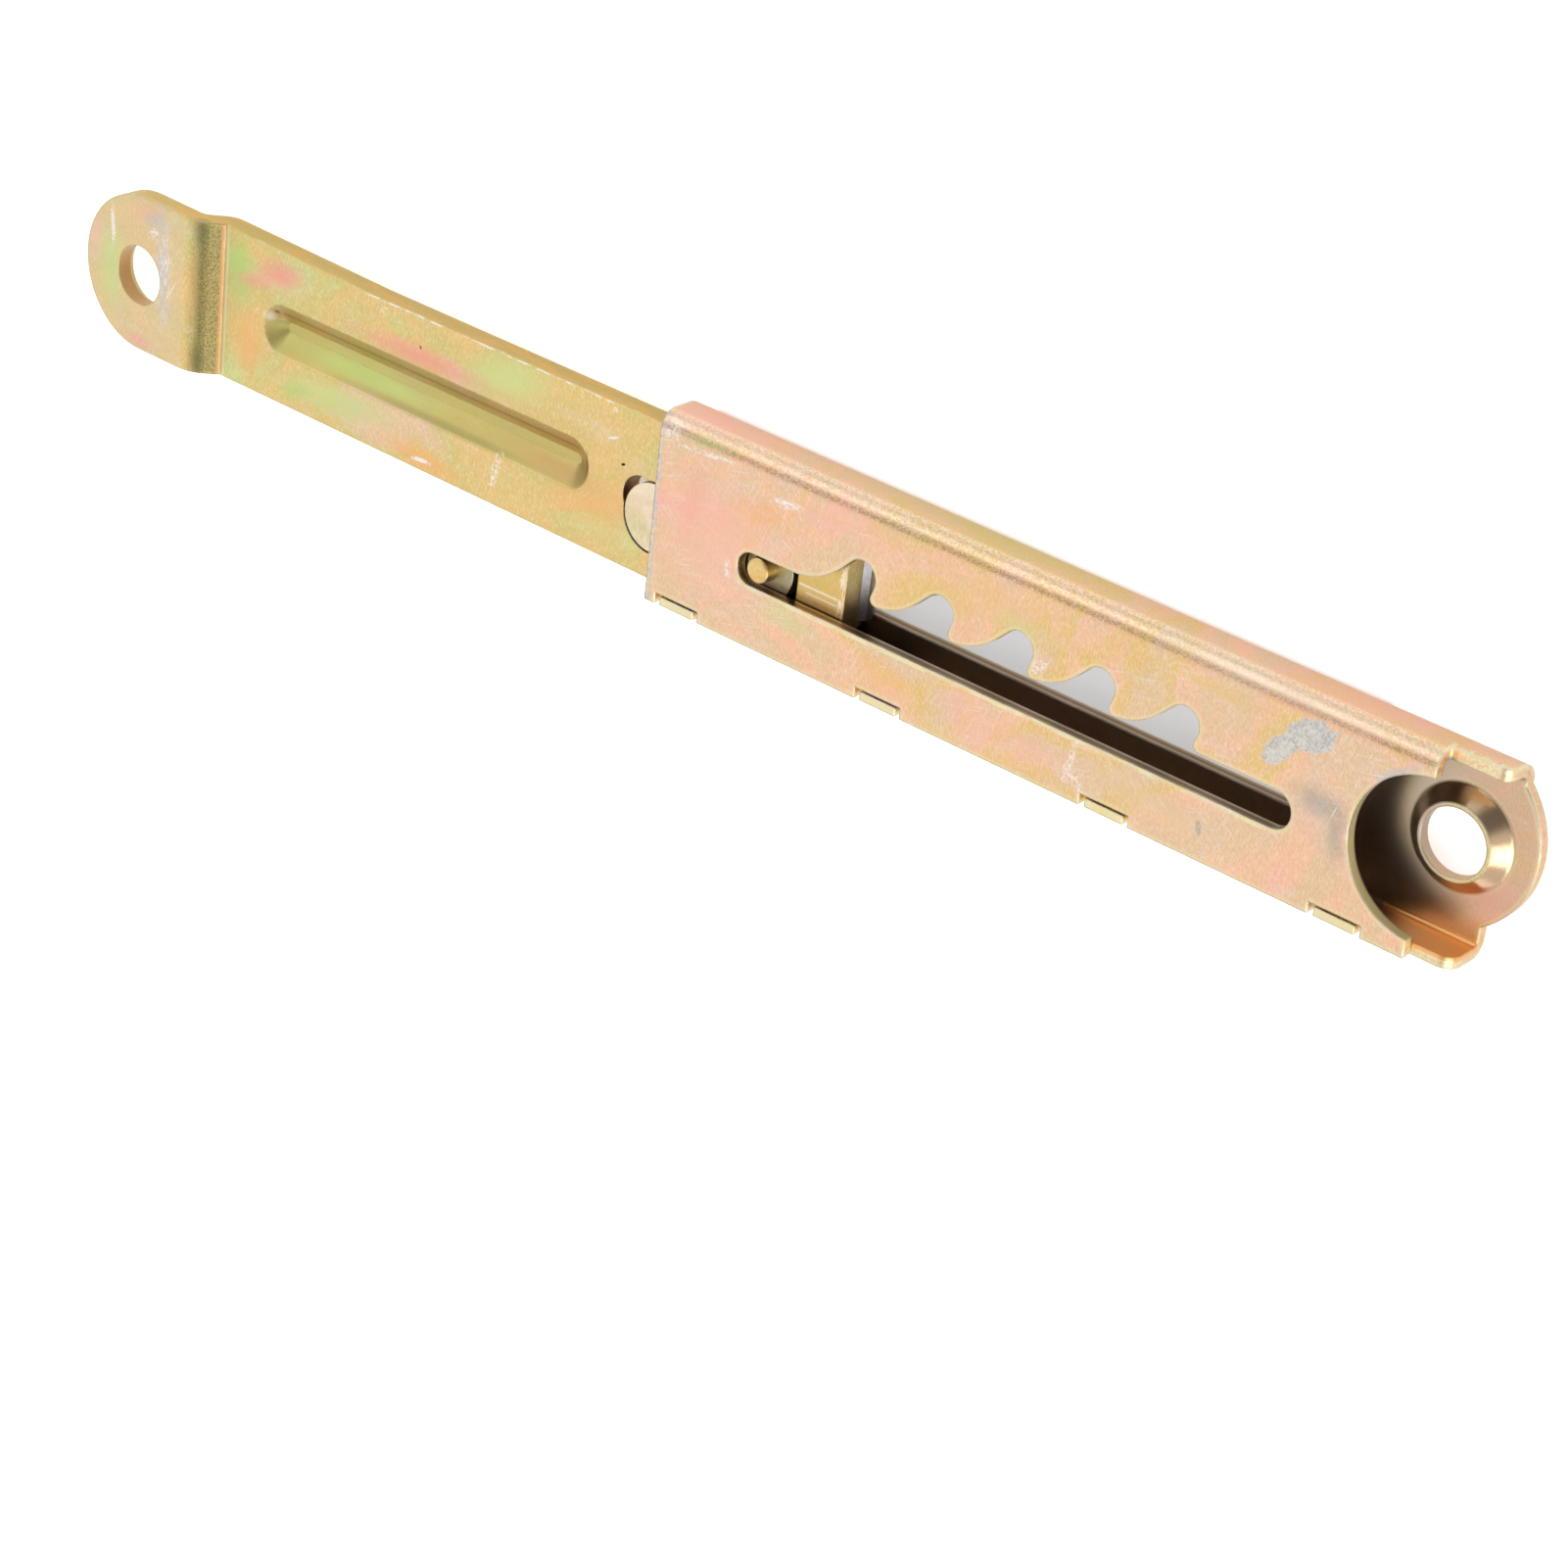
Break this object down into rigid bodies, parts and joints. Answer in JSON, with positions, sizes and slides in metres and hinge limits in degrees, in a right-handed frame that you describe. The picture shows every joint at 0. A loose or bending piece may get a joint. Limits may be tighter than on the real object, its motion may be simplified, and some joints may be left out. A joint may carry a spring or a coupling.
{
  "type": "headrest adjuster hinge",
  "caption": "Folded sheet sleeve with sawtooth slots, a latched sliding bar with a raised ear, and a mounting hole at each end.",
  "frame": {"origin": "centre of the sleeve's mounting hole, in the middle of its wall", "axes": "+X along the sleeve from its mounting hole to the bar's ear, +Y across it to the tabbed seam, +Z out of the front plate"},
  "size_m": [0.228, 0.0255, 0.0092],
  "materials": {
    "sleeve_plating": "yellow-passivated zinc plating, satin",
    "bar_plating": "yellow-passivated zinc plating, satin",
    "pawl_plating": "yellow-passivated zinc plating, dull",
    "pin_plating": "yellow-passivated zinc plating, satin",
    "spring_steel": "bare spring steel, smooth"
  },
  "bodies": {
    "sheath": {"sheath": "sleeve_plating"},
    "arm": {"arm": "bar_plating", "friction_spring": "spring_steel"},
    "latch": {"pawl": "pawl_plating", "latch_pin": "pin_plating"}
  },
  "joints": [
    {"name": "arm_slide", "type": "slide", "parent": "sheath", "child": "arm", "axis": [1, 0, 0], "range_m": [-0.075, 0.0005]},
    {"name": "pawl_swing", "type": "hinge", "parent": "arm", "child": "latch", "pos_m": [0.1159, 0.00355, 0.00195], "axis": [0, 0, 1], "range_deg": [-1.8, 0.5]}
  ]
}
